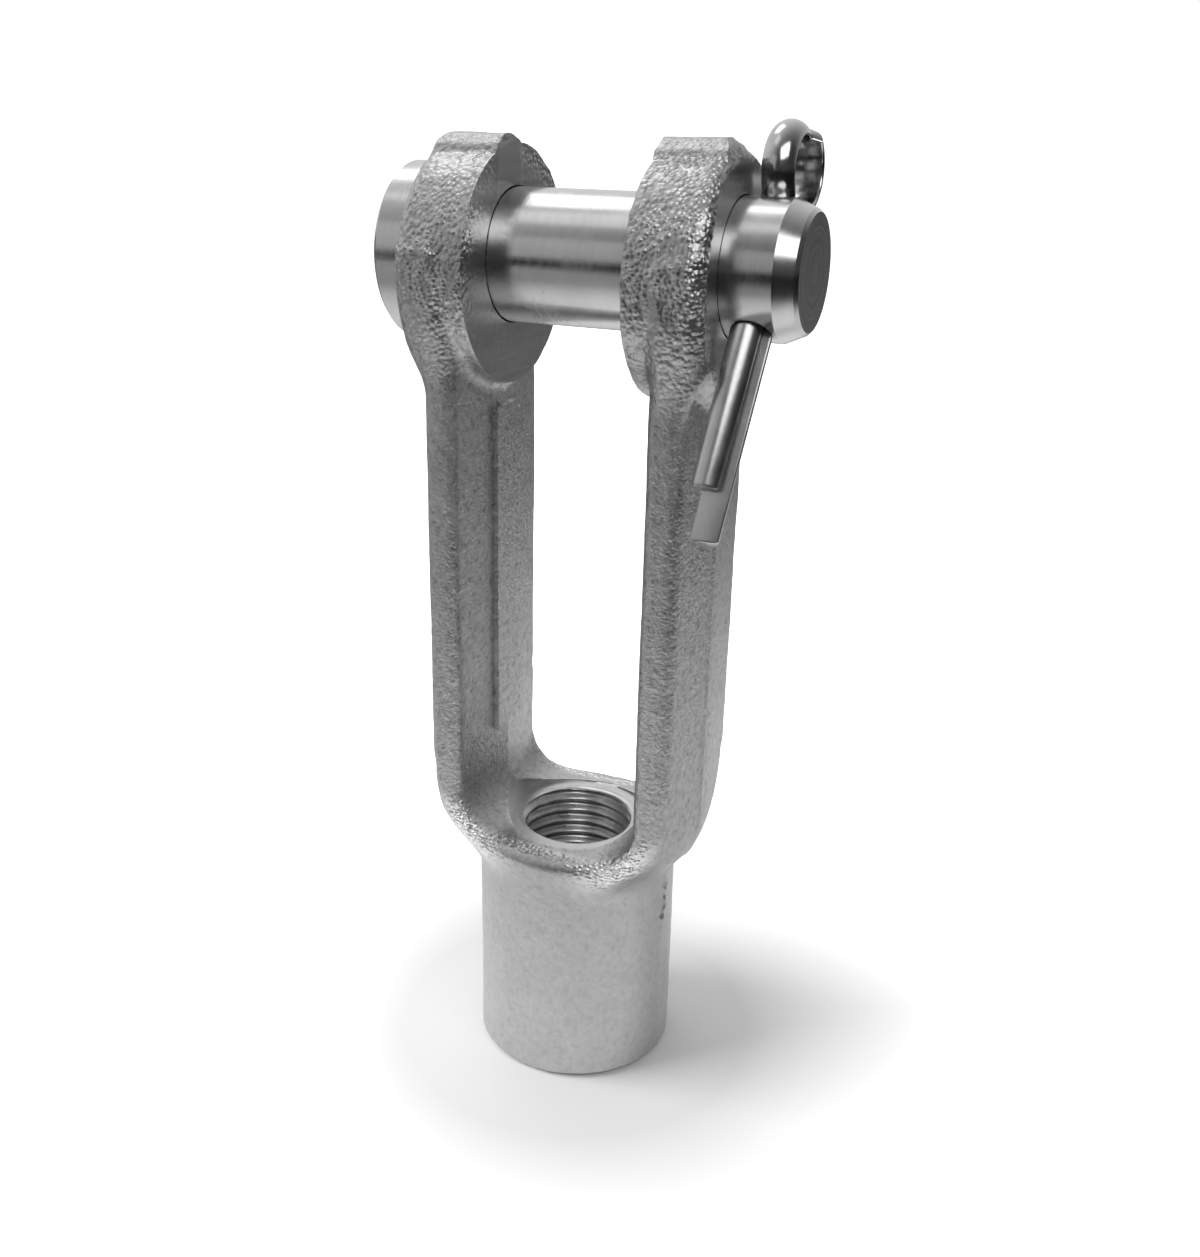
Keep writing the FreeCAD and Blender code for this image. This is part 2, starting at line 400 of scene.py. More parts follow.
def hashed(cells, seed):
    """A repeatable place in the random tables for each lattice cell."""
    scaled = cells * np.array(hash_primes)
    mixed = scaled[..., 0] ^ scaled[..., 1] ^ scaled[..., 2]
    mixed = (mixed ^ seed * hash_seed_prime) & 0xFFFFFFFF
    mixed = (mixed ^ (mixed >> 15)) * hash_mixers[0] & 0xFFFFFFFF
    mixed = (mixed ^ (mixed >> 13)) * hash_mixers[1] & 0xFFFFFFFF
    return (mixed ^ (mixed >> 16)) & (table_size - 1)


def lattice_noise(points, size, seed):
    """Smooth noise of about -1 to 1 whose bumps are about size across."""
    cell = points / size
    base = np.floor(cell).astype(np.int64)
    offset = cell - base
    fade = offset * offset * offset * (offset * (offset * 6 - 15) + 10)
    total = np.zeros(len(points))
    for corner in itertools.product((0, 1), repeat=3):
        corner = np.array(corner)
        slope = random_slopes[hashed(base + corner, seed)]
        value = np.einsum("ij,ij->i", slope, offset - corner)
        weight = np.prod(np.where(corner, fade, 1 - fade), axis=1)
        total += value * weight
    return total * noise_gain


def grains(points, size, density, seed):
    """Separate rounded bumps of 0 to 1, about size across, in this share of the cells."""
    smallest_reach = 0.25
    reach_span = 0.45
    cell = points / size
    base = np.floor(cell).astype(np.int64)
    total = np.zeros(len(points))
    for shift in itertools.product((-1, 0, 1), repeat=3):
        near = base + np.array(shift)
        key = hashed(near, seed)
        gap = np.sum((cell - near - random_places[key]) ** 2, axis=1)
        reach = smallest_reach + reach_span * random_sizes[key]
        bump = np.clip(1 - gap / reach**2, 0, 1) ** 1.5
        bump *= random_sizes[(key * 7 + 11) & (table_size - 1)] < density
        total = np.maximum(total, bump * (0.4 + 0.6 * reach))
    return total


def crown_share(points):
    """1 on the ears' rough rims, fading to 0 on the arms."""
    from_centre = np.hypot(points[:, 1], points[:, 2] - ear_centre)
    height = smooth_step((points[:, 2] - crown_bottom) / crown_rise)
    return height * smooth_step((from_centre - crown_rim_start) / crown_rim_width)


def burr_share(points):
    """Up to 1 along the rim where the slot's bottom meets the front and back faces."""
    x, y, z = points.T
    depth = np.abs(y)
    inset = (slot_field(np.abs(x), depth, z) - burr_inset) / burr_spread
    from_face = (depth - burr_depth) / burr_depth_spread
    rim = np.exp(-(inset**2)) * np.exp(-(from_face**2))
    return rim * smooth_step((burr_top - z) / burr_fade)


def ridge_share(points):
    """1 on the trimmed ridges over the ears, which are smoother than the skin round them."""
    across = np.abs(points[:, 1] - ear_flash_shift)
    height = smooth_step((points[:, 2] - ridge_bottom) / ridge_fade)
    return height * smooth_step((ridge_half_width - across) / ridge_fade)


def parting_line(x, y, crown):
    """Height of the raised parting line, which the rough rims hide."""
    outside = smooth_step((np.hypot(x, y) - parting_start_radius) / parting_start_fade)
    line = np.exp(-(((y - parting_y) / parting_half_width) ** 2))
    return parting_height * line * outside * (1 - crown)


def parting_pits(x, y, z):
    """A few small pits in the parting line on the shank's right side, below the shoulder."""
    pits = np.zeros(len(x))
    for height, shift in pit_places:
        gap = np.hypot(y - parting_y - shift, z - height)
        pits -= pit_depth * smooth_step(pit_floor - gap / pit_radius) * (x > 0)
    return pits


def forging_relief(points):
    """Height of the as-forged surface above the smooth form, in millimetres."""
    x, y, z = points.T
    crown = crown_share(points) * (1 - ridge_smoothing * ridge_share(points))
    burr = burr_share(points)
    rough = np.maximum(crown, burr)
    wavy = lattice_noise(points, wave_size, 1) * wave_height
    lumpy = lattice_noise(points, lump_size, 2) * (lump_height + rough_lump_height * rough)
    fine = lattice_noise(points, fine_size, 3) * (fine_height + rough_fine_height * rough)
    beads = grains(points, bead_size, bead_share, 4) * bead_height * rough
    dents = grains(points, dent_size, dent_share, 5) * -dent_depth * (1 - rough)
    lip = burr * (burr_height + burr_variation * lattice_noise(points, burr_size, 6))
    skin = wavy + lumpy + fine + beads + dents
    marks = parting_line(x, y, crown) + lip + parting_pits(x, y, z)
    return skin + marks - relief_base - rough_base * rough


def yoke_field(points):
    """Signed distance to the finished yoke, with the forging's relief near its surface."""
    x, y, z = points.T
    blank = forged_field(x, y, z)
    near = np.abs(blank) < relief_band
    blank[near] -= forging_relief(points[near])
    return np.maximum(blank, cut_field(x, y, z))


def field_slope(field, points):
    """Unit gradient of a field, by central differences."""
    slope = np.zeros((len(points), 3))
    for axis in range(3):
        step = np.eye(3)[axis] * slope_step
        slope[:, axis] = field(points + step) - field(points - step)
    return slope / np.maximum(np.linalg.norm(slope, axis=1), 1e-9)[:, None]


def edge_crossings(field, values, start, cell, axis):
    """Lattice edges along one axis that the surface crosses, and the places where it does."""
    inside = values < 0
    step = np.eye(3, dtype=int)[axis]
    ends = np.array(values.shape) - step
    here = inside[: ends[0], : ends[1], : ends[2]]
    there = inside[step[0]:, step[1]:, step[2]:]
    index = np.argwhere(here != there)
    first = start + index * cell
    lower = values[tuple(index.T)]
    upper = values[tuple((index + step).T)]
    share = lower / (lower - upper)
    low_share = np.zeros(len(index))
    high_share = np.ones(len(index))
    for _ in range(crossing_refinements):
        value = field(first + step * (share * cell)[:, None])
        same = (value < 0) == (lower < 0)
        low_share = np.where(same, share, low_share)
        high_share = np.where(same, high_share, share)
        lower = np.where(same, value, lower)
        upper = np.where(same, upper, value)
        weight = lower / (lower - upper)
        share = low_share + (high_share - low_share) * np.clip(weight, 0.05, 0.95)
    return index, first + step * (share * cell)[:, None]


def edge_quads(index, inside, axis):
    """Numbers of the four cells round each crossed edge, in outward order."""
    strides = np.array((inside.shape[1] * inside.shape[2], inside.shape[2], 1))
    across = [np.eye(3, dtype=int)[(axis + turn) % 3] for turn in (1, 2)]
    ring = (index - across[0] - across[1], index - across[1], index, index - across[0])
    quads = np.stack([corner @ strides for corner in ring], axis=1)
    reverse = ~inside[tuple(index.T)]
    quads[reverse] = quads[reverse][:, ::-1]
    return quads


def corner_points(places, normals, owner, count):
    """For each cell, the point where the tangent planes of its crossings meet best."""
    found = np.bincount(owner, minlength=count).astype(float)
    mean = np.stack([np.bincount(owner, places[:, i], count) for i in range(3)], axis=1)
    mean /= found[:, None]
    offset = np.einsum("ij,ij->i", normals, places - mean[owner])
    matrix = np.zeros((count, 3, 3))
    right = np.zeros((count, 3))
    for i in range(3):
        right[:, i] = np.bincount(owner, normals[:, i] * offset, count)
        for j in range(3):
            matrix[:, i, j] = np.bincount(owner, normals[:, i] * normals[:, j], count)
    matrix += np.eye(3) * corner_pull
    return mean + np.linalg.solve(matrix, right[:, :, None])[:, :, 0]


def contour_mesh(field, low, high, cell):
    """Dual contouring: vertices that keep sharp edges, and quads, where the field is zero."""
    counts = np.ceil((high - low) / cell).astype(int) + lattice_margin
    start = low - cell * lattice_offset
    axes = [start[axis] + cell * np.arange(counts[axis]) for axis in range(3)]
    lattice = np.stack(np.meshgrid(*axes, indexing="ij"), axis=-1).reshape(-1, 3)
    values = field(lattice).reshape(counts)
    places = []
    quads = []
    for axis in range(3):
        index, place = edge_crossings(field, values, start, cell, axis)
        places.append(place)
        quads.append(edge_quads(index, values < 0, axis))
    places = np.concatenate(places)
    quads = np.concatenate(quads)
    normals = field_slope(field, places)
    cells, owner = np.unique(quads.ravel(), return_inverse=True)
    owner = owner.ravel()
    places = np.repeat(places, 4, axis=0)
    normals = np.repeat(normals, 4, axis=0)
    vertices = corner_points(places, normals, owner, len(cells))
    lowest = start + np.stack(np.unravel_index(cells, counts), axis=1) * cell
    return np.clip(vertices, lowest, lowest + cell), owner.reshape(quads.shape)


def mesh_object(name, vertices, faces, smooth_angle):
    """Mesh object from millimetre vertices and faces, sharp at edges over the angle."""
    mesh = bpy.data.meshes.new(name)
    mesh.from_pydata((np.asarray(vertices) * METRES).tolist(), [], faces)
    mesh.validate()
    mesh.shade_smooth()
    mesh.set_sharp_from_angle(angle=math.radians(smooth_angle))
    piece = bpy.data.objects.new(name, mesh)
    bpy.context.scene.collection.objects.link(piece)
    return piece


def share_attribute(piece, name, values):
    """Store one number per vertex for the material."""
    attribute = piece.data.attributes.new(name, "FLOAT", "POINT")
    attribute.data.foreach_set("value", np.asarray(values, dtype=np.float32))


def yoke_piece():
    """The machined forging as one closed mesh, with shares that say how each place was made."""
    low = np.array((-ear_blank_x, -ear_radius, 0.0))
    high = np.array((ear_blank_x, ear_radius, ear_flash_top))
    vertices, faces = contour_mesh(yoke_field, low, high, cell_size)
    vertices = np.clip(vertices, low, high)
    piece = mesh_object("yoke_forging", vertices, faces.tolist(), forging_smooth_angle)
    x, y, z = vertices.T
    crown = crown_share(vertices) * (1 - ridge_polish * ridge_share(vertices))
    share_attribute(piece, "machined", smooth_step(1 + cut_field(x, y, z) / machined_fade))
    share_attribute(piece, "crown", crown)
    share_attribute(piece, "burr", burr_share(vertices))
    share_attribute(piece, "arms", smooth_step((z - arms_bottom) / arms_rise))
    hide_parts("yoke")
    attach(piece, "yoke")
    return piece


def ring_angles():
    """Angles of the points round one ring of the thread's sleeve."""
    return np.arange(thread_turn_steps) * 2 * math.pi / thread_turn_steps


def thread_radius(height):
    """Inner radii of the thread's sleeve round one height, widened to the bore's two ends."""
    phase = (height / thread_pitch - ring_angles() / (2 * math.pi)) % 1
    tooth = np.clip(np.abs(phase - 0.5) * 2 * thread_flank_gain - thread_root_share, 0, 1)
    root_radius = thread_diameter / 2
    radius = root_radius + (bore_radius - root_radius) * tooth
    lead = bore_end_radius - height
    mouth = bore_mouth_radius - (crotch_height - height)
    return np.minimum(np.maximum(radius, np.maximum(lead, mouth)), sleeve_radius)


def thread_ring(radius, height):
    """Points of one ring of the thread's sleeve."""
    angle = ring_angles()
    level = np.full(thread_turn_steps, height)
    return np.stack([radius * np.cos(angle), radius * np.sin(angle), level], axis=1)


def thread_piece():
    """Sleeve with the 3/8-24 thread inside, set into the yoke's bore."""
    rows = int(round(crotch_height / thread_pitch * thread_profile_steps))
    heights = np.linspace(thread_bottom, crotch_height - thread_top_gap, rows)
    rings = [thread_ring(thread_radius(height), height) for height in heights]
    for height in (heights[-1], heights[0]):
        rings.append(thread_ring(sleeve_radius + sleeve_wall, height))
    first = np.arange(thread_turn_steps)
    second = (first + 1) % thread_turn_steps
    faces = []
    for ring in range(len(rings)):
        here = ring * thread_turn_steps
        above = (ring + 1) % len(rings) * thread_turn_steps
        faces.append(np.stack([here + second, here + first, above + first, above + second], axis=1))
    faces = np.concatenate(faces).tolist()
    piece = mesh_object("yoke_thread", np.concatenate(rings), faces, thread_smooth_angle)
    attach(piece, "yoke")
    return piece


def arc_points(centre, radius, start, turn, steps):
    """Points round an arc, for each of the given steps of the turn."""
    points = []
    for share in steps:
        angle = start + turn * share
        points.append((centre[0] + radius * math.cos(angle), centre[1] + radius * math.sin(angle)))
    return points


def wire_outline():
    """Half-round wire section as (sideways, outward) points, its two long edges rounded."""
    soft = cotter_edge_radius
    edge_angle = math.asin(soft / (cotter_wire_radius - soft))
    edge_side = (cotter_wire_radius - soft) * math.cos(edge_angle)
    edge_turn = math.pi / 2 + edge_angle
    crown_turn = math.pi - 2 * edge_angle
    crown_steps = [step / 24 for step in range(25)]
    left_steps = [step / 4 for step in range(1, 5)]
    right_steps = [step / 5 for step in range(5)]
    points = arc_points((0, 0), cotter_wire_radius, edge_angle, crown_turn, crown_steps)
    points += arc_points((-edge_side, soft), soft, math.pi - edge_angle, edge_turn, left_steps)
    points += arc_points((edge_side, soft), soft, -math.pi / 2, edge_turn, right_steps)
    flatten = cotter_half_width / cotter_wire_radius
    return [(sideways * flatten, outward) for sideways, outward in points]


def cotter_leg(side, length):
    """End of one leg and the neck bend above it, as places with their outward directions."""
    rings = [((side * cotter_half_gap, -length), (side, 0.0))]
    for step in range(cotter_bend_steps + 1):
        angle = cotter_bend_turn * step / cotter_bend_steps
        outward = (side * math.cos(angle), -math.sin(angle))
        y = side * cotter_bend_y - outward[0] * cotter_neck_radius
        z = cotter_bend_z - outward[1] * cotter_neck_radius
        rings.append(((y, z), outward))
    return rings


def cotter_eye():
    """The eye between the two necks, as places with their outward directions."""
    rings = []
    for step in range(1, cotter_eye_steps):
        angle = -cotter_bend_turn + (math.pi + 2 * cotter_bend_turn) * step / cotter_eye_steps
        outward = (math.cos(angle), math.sin(angle))
        y = outward[0] * cotter_eye_radius
        z = cotter_eye_centre + outward[1] * cotter_eye_radius
        rings.append(((y, z), outward))
    return rings


def cotter_rings():
    """Places along the wire's flat side, with outward direction, scale and lift of each ring."""
    path = cotter_leg(1, cotter_long_leg) + cotter_eye() + cotter_leg(-1, cotter_short_leg)[::-1]
    rings = [(place, outward, 1.0, 0.0) for place, outward in path]
    first = path[0]
    last = path[-1]
    rings[0] = (*first, cotter_end_scale, 0.0)
    rings[-1] = (*last, cotter_end_scale, 0.0)
    rings.insert(1, (*first, 1.0, cotter_end_length))
    rings.insert(len(rings) - 1, (*last, 1.0, cotter_end_length))
    return rings


def cotter_points(place, outward, scale, lift):
    """One ring's points: its outline set across the path, the legs stepped apart sideways."""
    y, z = place
    middle = cotter_wire_radius / 2
    aside = cotter_side_step * max(-1.0, min(1.0, y / cotter_side_turn))
    eye_share = min(1.0, max(0.0, (z - cotter_neck_radius) / cotter_eye_radius))
    wide = 1 + cotter_eye_widening * eye_share
    points = []
    for sideways, out in wire_outline():
        out = middle + (out - middle) * scale
        across = aside + sideways * scale * wide
        points.append(Vector((across, y + outward[0] * out, z + outward[1] * out + lift)))
    return points


def cotter_piece():
    """Folded half-round wire swept along its legs, neck bends and eye, with rounded end edges."""
    tilt = Matrix.Rotation(-cotter_tilt, 3, "X")
    twist = Matrix.Rotation(-cotter_twist, 3, "Z")
    centre = Vector((cotter_x, 0, pin_height))
    rings = [cotter_points(*ring) for ring in cotter_rings()]
    vertices = [tilt @ (twist @ point) + centre for ring in rings for point in ring]
    count = len(rings[0])
    faces = []
    for ring in range(len(rings) - 1):
        here = ring * count
        for step in range(count):
            after = (step + 1) % count
            faces.append((here + step, here + after, here + count + after, here + count + step))
    faces.append(tuple(reversed(range(count))))
    faces.append(tuple(range((len(rings) - 1) * count, len(rings) * count)))
    piece = mesh_object("cotter_wire", vertices, faces, cotter_smooth_angle)
    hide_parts("cotter_pin")
    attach(piece, "cotter_pin")
    return piece


class Nodes:
    """Short calls for building a node tree."""

    def __init__(self, owner):
        owner.use_nodes = True
        self.tree = owner.node_tree

    def add(self, kind, **settings):
        """Add a node with the given properties."""
        node = self.tree.nodes.new(kind)
        for key, value in settings.items():
            setattr(node, key, value)
        return node

    def feed(self, value, socket):
        """Link an output to a socket, or set a constant on it."""
        if isinstance(value, (int, float)):
            socket.default_value = value
        else:
            self.tree.links.new(value, socket)

    def place(self):
        """The object's own coordinates."""
        return self.add("ShaderNodeTexCoord").outputs["Object"]

    def spread(self, value, low, high, to_low, to_high, ease="LINEAR"):
        """Carry the range low to high over to another, held at its ends."""
        node = self.add("ShaderNodeMapRange", clamp=True, interpolation_type=ease)
        node.inputs["From Min"].default_value = low
        node.inputs["From Max"].default_value = high
        node.inputs["To Min"].default_value = to_low
        node.inputs["To Max"].default_value = to_high
        self.feed(value, node.inputs["Value"])
        return node.outputs["Result"]

    def vary(self, noise, low, high):
        """Carry the usual range of a noise over to low to high."""
        return self.spread(noise, 0.3, 0.7, low, high)

    def maths(self, operation, first, second=0.0):
        """Calculate with two numbers."""
        node = self.add("ShaderNodeMath", operation=operation)
        self.feed(first, node.inputs[0])
        self.feed(second, node.inputs[1])
        return node.outputs[0]

    def vector_maths(self, operation, vector, constant=(0, 0, 0)):
        """Calculate with a vector and a constant one."""
        node = self.add("ShaderNodeVectorMath", operation=operation)
        self.feed(vector, node.inputs[0])
        node.inputs[1].default_value = constant
        gives_number = operation in ("DISTANCE", "DOT_PRODUCT", "LENGTH")
        return node.outputs["Value" if gives_number else "Vector"]

    def show(self, seen, otherwise, output):
        """Show one shader to the camera and another to all other rays."""
        mix = self.add("ShaderNodeMixShader")
        self.feed(self.add("ShaderNodeLightPath").outputs["Is Camera Ray"], mix.inputs[0])
        self.feed(otherwise, mix.inputs[1])
        self.feed(seen, mix.inputs[2])
        self.feed(mix.outputs[0], self.add(output).inputs["Surface"])


class Steel(Nodes):
    """Node tree of one metal."""

    def __init__(self, name):
        self.material = bpy.data.materials.new(name)
        super().__init__(self.material)
        self.shader = self.tree.nodes["Principled BSDF"]
        self.shader.inputs["Metallic"].default_value = 1.0

    def noise(self, scale, detail, roughness=0.55, stretch=None):
        """Noise in the object's coordinates, which may be stretched."""
        node = self.add("ShaderNodeTexNoise")
        node.inputs["Scale"].default_value = scale
        node.inputs["Detail"].default_value = detail
        node.inputs["Roughness"].default_value = roughness
        source = self.place()
        if stretch is not None:
            mapping = self.add("ShaderNodeMapping")
            mapping.inputs["Scale"].default_value = stretch
            self.feed(source, mapping.inputs["Vector"])
            source = mapping.outputs["Vector"]
        self.feed(source, node.inputs["Vector"])
        return node.outputs["Fac"]

    def rings(self, radius, scale, detail):
        """Noise that changes with the radius alone."""
        node = self.add("ShaderNodeTexNoise", noise_dimensions="1D")
        node.inputs["Scale"].default_value = scale
        node.inputs["Detail"].default_value = detail
        self.feed(radius, node.inputs["W"])
        return node.outputs["Fac"]

    def cells(self, scale):
        """Distance to the nearest of scattered points."""
        node = self.add("ShaderNodeTexVoronoi", feature="F1")
        node.inputs["Scale"].default_value = scale
        self.feed(self.place(), node.inputs["Vector"])
        return node.outputs["Distance"]

    def attribute(self, name):
        """Share that is stored on the mesh."""
        return self.add("ShaderNodeAttribute", attribute_name=name).outputs["Fac"]

    def part(self, vector, axis):
        """One part of a vector."""
        node = self.add("ShaderNodeSeparateXYZ")
        self.feed(vector, node.inputs[0])
        return node.outputs[axis]

    def blend(self, share, first, second):
        """The first value where the share is 0, the second where it is 1."""
        node = self.add("ShaderNodeMix", data_type="FLOAT")
        self.feed(share, node.inputs[0])
        self.feed(first, node.inputs[2])
        self.feed(second, node.inputs[3])
        return node.outputs[0]

    def grey(self, value):
        """Use a number as the grey of the metal."""
        node = self.add("ShaderNodeCombineColor")
        for socket in node.inputs:
            self.feed(value, socket)
        self.feed(node.outputs[0], self.shader.inputs["Base Color"])

    def rough(self, value):
        """Use a number as the roughness."""
        self.feed(value, self.shader.inputs["Roughness"])

    def bump(self, height, distance):
        """Bump the surface by a height."""
        node = self.add("ShaderNodeBump")
        node.inputs["Distance"].default_value = distance
        node.inputs["Strength"].default_value = 1.0
        self.feed(height, node.inputs["Height"])
        self.feed(node.outputs["Normal"], self.shader.inputs["Normal"])


def forged_grey(steel, patches, coarse, burr, arms):
    """Grey of the plated skin: soft patches, speckle that grows on the arms, and a painted
    highlight that makes the burr paler.
    """
    specks = steel.spread(coarse, 0.26, 0.42, -0.07, 0.0)
    specks = steel.maths("MULTIPLY", specks, steel.spread(arms, 0, 1, 0.7, 2.0))
    speckle = steel.spread(coarse, 0.35, 0.68, -0.03, 0.04)
    speckle = steel.maths("MULTIPLY", speckle, steel.spread(arms, 0, 1, 1, 2.2))
    grain = steel.maths("ADD", speckle, specks)
    grey = steel.maths("ADD", steel.vary(patches, 0.46, 0.54), grain)
    # Painted highlight: the burr's grey is raised so that its lip reads bright
    return steel.maths("ADD", grey, steel.maths("MULTIPLY", burr, 0.5))


def forged_height(steel, patches, coarse, crown, burr, arms):
    """Height of the plated skin: fine grain, beads on the rough rims, a crust on the burr."""
    rough_rims = steel.maths("MAXIMUM", crown, burr)
    beads = steel.spread(steel.cells(bead_scale), 0.0, 0.75, 1.0, 0.0)
    lumps = steel.maths("MULTIPLY", beads, steel.spread(rough_rims, 0, 1, 0.35, 3.0))
    lumps = steel.maths("MULTIPLY", lumps, steel.spread(patches, 0.35, 0.65, 0.4, 1.6))
    fine = steel.maths("ADD", coarse, steel.noise(grit_scale, 3, 0.6))
    fine = steel.maths("MULTIPLY", fine, steel.spread(arms, 0, 1, 0.8, 2.8))
    fine = steel.maths("MULTIPLY", fine, steel.spread(crown, 0, 1, 1.0, 0.35))
    crust = steel.maths("MULTIPLY", beads, steel.maths("MULTIPLY", burr, 4.0))
    return steel.maths("ADD", steel.maths("ADD", fine, lumps), crust)


def forged_roughness(steel, patches, crown, burr):
    """Roughness of the plated skin: satin, a little brighter on the rims and the burr."""
    rough_rims = steel.maths("MAXIMUM", crown, burr)
    bright = steel.maths("ADD", rough_rims, steel.maths("MULTIPLY", burr, 1.8))
    shine = steel.maths("MULTIPLY", bright, 0.06)
    return steel.maths("SUBTRACT", steel.vary(patches, 0.34, 0.44), shine)


def forged_material():
    """Zinc-plated forging: beaded on rough rims, finer on the arms, tool-marked where cut."""
    steel = Steel("forged_steel")
    machined = steel.attribute("machined")
    crown = steel.attribute("crown")
    burr = steel.attribute("burr")
    arms = steel.attribute("arms")
    patches = steel.noise(patch_scale, 5, 0.6)
    coarse = steel.noise(coarse_scale, 3, 0.62)
    scratches = steel.noise(1.0, 4, 0.6, stretch=scratch_scales)
    cut_grey = steel.spread(arms, 0.2, 1, 0.66, 0.50)
    cut_grey = steel.maths("ADD", steel.vary(scratches, -0.05, 0.05), cut_grey)
    cut_height = steel.maths("MULTIPLY", scratches, 0.25)
    grey = forged_grey(steel, patches, coarse, burr, arms)
    rough = forged_roughness(steel, patches, crown, burr)
    height = forged_height(steel, patches, coarse, crown, burr, arms)
    steel.grey(steel.blend(machined, grey, cut_grey))
    steel.rough(steel.blend(machined, rough, steel.vary(scratches, 0.30, 0.40)))
    steel.bump(steel.blend(machined, height, cut_height), forged_bump)
    return steel.material


def thread_material():
    """Cut thread: bare steel whose grey and polish change in soft patches."""
    steel = Steel("cut_thread")
    steel.grey(steel.vary(steel.noise(thread_grey_scale, 3), 0.50, 0.66))
    steel.rough(steel.vary(steel.noise(thread_polish_scale, 2), 0.25, 0.4))
    return steel.material


def turned_material():
    """Turned and plated pin: satin, with fine tool marks round its axis and on its ends."""
    steel = Steel("turned_steel")
    turning = steel.noise(1.0, 3, 0.6, stretch=turning_scales)
    streaks = steel.noise(1.0, 3, 0.5, stretch=streak_scales)
    patches = steel.noise(patch_scale, 4)
    normal = steel.add("ShaderNodeNewGeometry").outputs["Normal"]
    facing = steel.maths("ABSOLUTE", steel.part(normal, "X"))
    ends = steel.spread(facing, 0.9, 0.97, 0.0, 1.0)
    from_axis = steel.vector_maths("SUBTRACT", steel.place(), (0, 0, pin_height * METRES))
    from_axis = steel.vector_maths("MULTIPLY", from_axis, (0, 1, 1))
    grooves = steel.rings(steel.vector_maths("LENGTH", from_axis), groove_scale, 3)
    steel.grey(steel.blend(ends, steel.vary(patches, 0.56, 0.66), steel.vary(grooves, 0.34, 0.56)))
    rough = steel.vary(turning, 0.16, 0.24)
    steel.rough(steel.maths("ADD", rough, steel.vary(patches, -0.03, 0.07)))
    height = steel.maths("ADD", turning, steel.maths("MULTIPLY", streaks, 1.2))
    steel.bump(steel.blend(ends, height, steel.maths("MULTIPLY", grooves, 3.0)), turned_bump)
    return steel.material


def wire_material():
    """Bright drawn cotter wire, duller along its legs."""
    steel = Steel("cotter_wire")
    patches = steel.noise(wire_patch_scale, 4)
    steel.grey(steel.vary(patches, 0.50, 0.60))
    leg_top = pin_height * METRES
    fade_top = (pin_height + cotter_dull_fade) * METRES
    legs = steel.spread(steel.part(steel.place(), "Z"), leg_top, fade_top, 0.16, 0.0)
    steel.rough(steel.maths("ADD", legs, steel.vary(patches, 0.13, 0.21)))
    steel.bump(steel.noise(wire_grain_scale, 2), wire_bump)
    return steel.material


def dress(piece, material):
    """Give a whole piece one material."""
    if piece.data.materials:
        for index in range(len(piece.data.materials)):
            piece.material_slots[index].material = material
    else:
        piece.data.materials.append(material)


def paper_material():
    """White paper that takes shadows, and glows to the camera as painted light that grows away from
    the fork; in the steel it darkens outwards and to the right front, as painted shade and a
    painted shadow.
    """
    paper = bpy.data.materials.new("paper")
    nodes = Nodes(paper)
    nodes.tree.nodes.clear()
    place = nodes.place()
    distance = nodes.vector_maths("LENGTH", place)
    # Painted light: an emission seen by the camera alone, faint next to the fork and full further
    # out, whitens the floor there and cuts the shadow short
    lift = nodes.spread(distance, paper_near, paper_far, paper_painted_glow, paper_far_painted_glow)
    glow = nodes.add("ShaderNodeEmission")
    nodes.feed(lift, glow.inputs["Strength"])
    lit = nodes.add("ShaderNodeBsdfDiffuse")
    lit.inputs["Color"].default_value = (paper_seen_grey, paper_seen_grey, paper_seen_grey, 1)
    seen = nodes.add("ShaderNodeAddShader")
    nodes.feed(lit.outputs[0], seen.inputs[0])
    nodes.feed(glow.outputs[0], seen.inputs[1])
    # Painted shadow and painted shade on the floor as the steel sees it: darker towards the right
    # front and further from the middle
    along = nodes.vector_maths("DOT_PRODUCT", place, paper_painted_shadow_direction)
    painted_shadow_range = (paper_painted_shadow_start, paper_painted_shadow_end, paper_grey, paper_painted_shadow_grey)
    painted_shadow = nodes.spread(along, *painted_shadow_range, "SMOOTHSTEP")
    apart = nodes.vector_maths("DISTANCE", place, paper_painted_shade_middle)
    painted_shade = nodes.spread(apart, paper_painted_shade_start, paper_painted_shade_end, 1.0, paper_painted_shade_share)
    reflected = nodes.add("ShaderNodeBsdfDiffuse")
    nodes.feed(nodes.maths("MULTIPLY", painted_shadow, painted_shade), reflected.inputs["Color"])
    nodes.show(seen.outputs[0], reflected.outputs[0], "ShaderNodeOutputMaterial")
    return paper


def studio_world():
    """Soft room: a pale backdrop behind, darker on the viewer's side, white to the camera."""
    world = bpy.data.worlds.new("studio")
    nodes = Nodes(world)
    nodes.tree.nodes.clear()
    seen = nodes.add("ShaderNodeBackground")
    seen.inputs["Color"].default_value = (1, 1, 1, 1)
    direction = nodes.add("ShaderNodeTexCoord").outputs["Generated"]
    facing = nodes.vector_maths("DOT_PRODUCT", direction, room_pale_direction)
    room_range = (room_dark_facing, room_pale_facing, room_dark, room_pale)
    grey = nodes.spread(facing, *room_range, "SMOOTHSTEP")
    room = nodes.add("ShaderNodeBackground")
    nodes.feed(grey, room.inputs["Color"])
    nodes.show(seen.outputs[0], room.outputs[0], "ShaderNodeOutputWorld")
    return world


def floor_and_world():
    """White floor that keeps the shadow, and the soft studio that the steel reflects."""
    mesh = bpy.data.meshes.new("floor")
    signs = ((-1, -1), (1, -1), (1, 1), (-1, 1))
    corners = [(x * floor_reach, y * floor_reach, 0) for x, y in signs]
    mesh.from_pydata(corners, [], [(0, 1, 2, 3)])
    floor = bpy.data.objects.new("floor", mesh)
    bpy.context.scene.collection.objects.link(floor)
    floor.data.materials.append(paper_material())
    bpy.context.scene.world = studio_world()


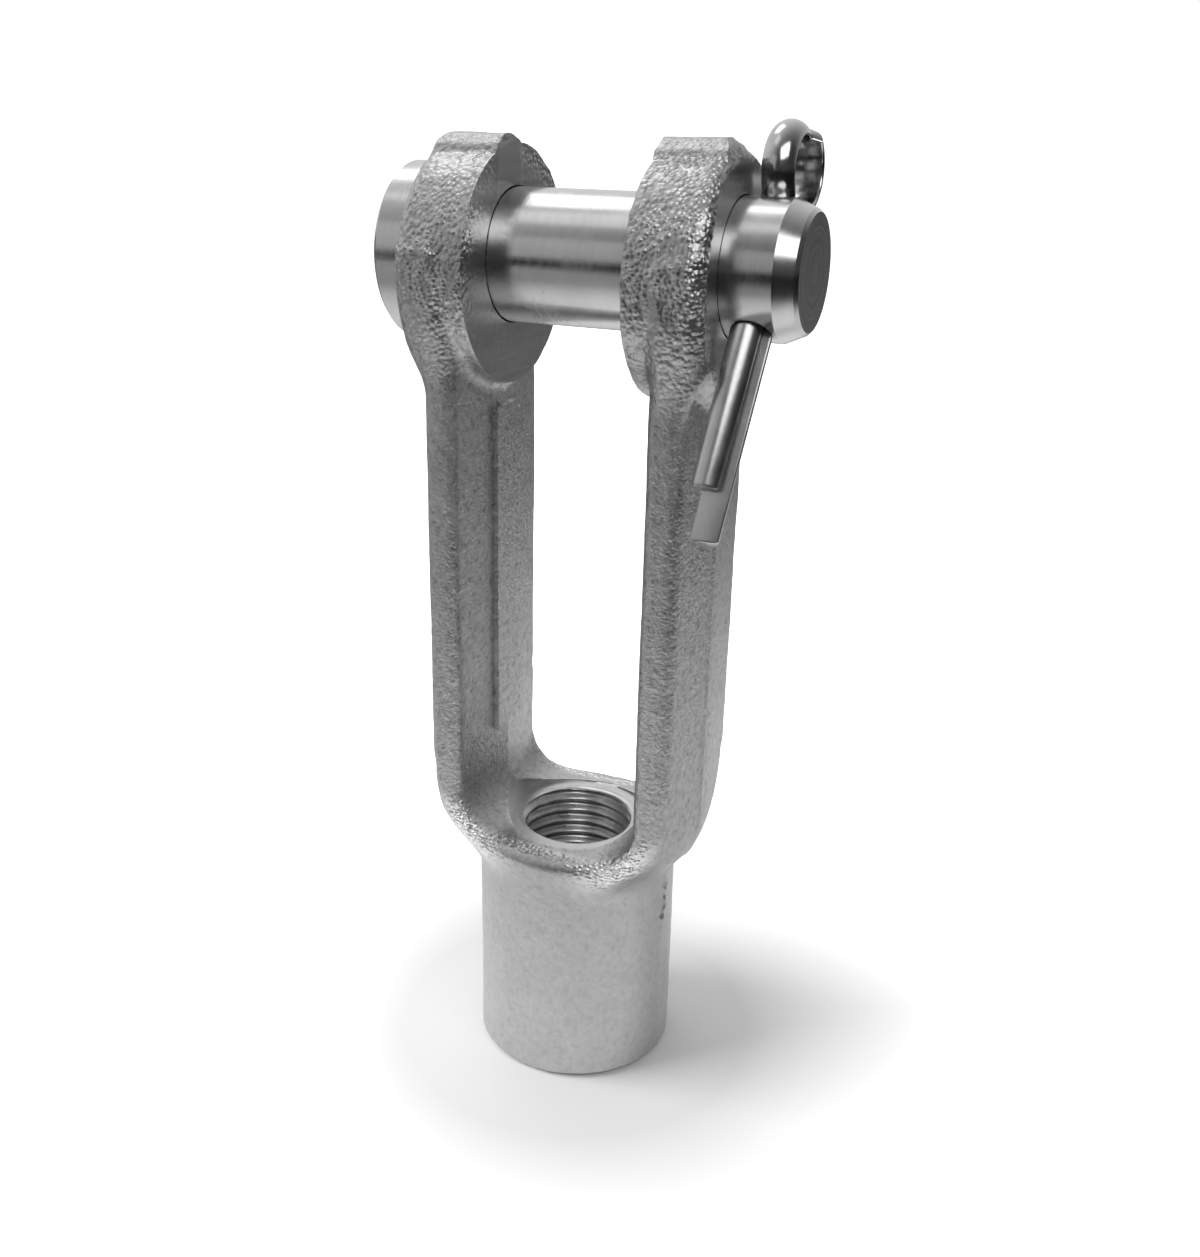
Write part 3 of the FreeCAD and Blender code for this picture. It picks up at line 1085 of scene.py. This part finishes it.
def softbox(name, direction, size, radiance):
    """Rectangular lamp aimed at the ears, of a given radiance, that the camera doesn't see."""
    data = bpy.data.lights.new(name, "AREA")
    data.shape = "RECTANGLE"
    data.size, data.size_y = (length * METRES for length in size)
    data.energy = radiance * math.pi * data.size * data.size_y
    lamp = bpy.data.objects.new(name, data)
    away = Vector(direction).normalized()
    lamp.location = (Vector(lamp_aim) + away * lamp_distance) * METRES
    lamp.rotation_euler = (-away).to_track_quat("-Z", "Y").to_euler()
    lamp.visible_camera = False
    bpy.context.scene.collection.objects.link(lamp)
    return lamp


def lights():
    """All lamps; the one that casts the soft shadow doesn't show in the steel."""
    for lamp_row in lamps:
        lamp = softbox(*lamp_row)
        lamp.visible_glossy = lamp.name != "shade"


def photograph_camera():
    """Camera at the photograph's viewing angle."""
    azimuth = math.radians(camera_azimuth)
    elevation = math.radians(camera_elevation)
    roll = math.radians(camera_roll)
    back = Vector((
        math.sin(azimuth) * math.cos(elevation),
        -math.cos(azimuth) * math.cos(elevation),
        math.sin(elevation),
    ))
    right = (-back).cross(Vector((0, 0, 1))).normalized()
    up = right.cross(-back)
    rolled_right = right * math.cos(roll) + up * math.sin(roll)
    rolled_up = up * math.cos(roll) - right * math.sin(roll)
    place = (Vector(camera_target) + back * camera_distance) * METRES
    data = bpy.data.cameras.new("photograph")
    data.sensor_fit = "VERTICAL"
    data.sensor_height = camera_sensor
    data.lens = camera_sensor * camera_focal_pixels / picture_height
    data.shift_x = (picture_width / 2 - camera_centre[0]) / picture_height
    data.shift_y = (camera_centre[1] - picture_height / 2) / picture_height
    data.clip_start = camera_near_metres
    data.clip_end = camera_far_metres
    camera = bpy.data.objects.new("photograph", data)
    axes = Matrix((rolled_right, rolled_up, back)).transposed()
    camera.matrix_world = Matrix.Translation(place) @ axes.to_4x4()
    bpy.context.scene.collection.objects.link(camera)
    bpy.context.scene.camera = camera


bpy.context.scene.view_settings.view_transform = "Standard"

photograph_camera()
floor_and_world()
lights()
dress(yoke_piece(), forged_material())
dress(thread_piece(), thread_material())
dress(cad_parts["clevis_pin"], turned_material())
dress(cotter_piece(), wire_material())
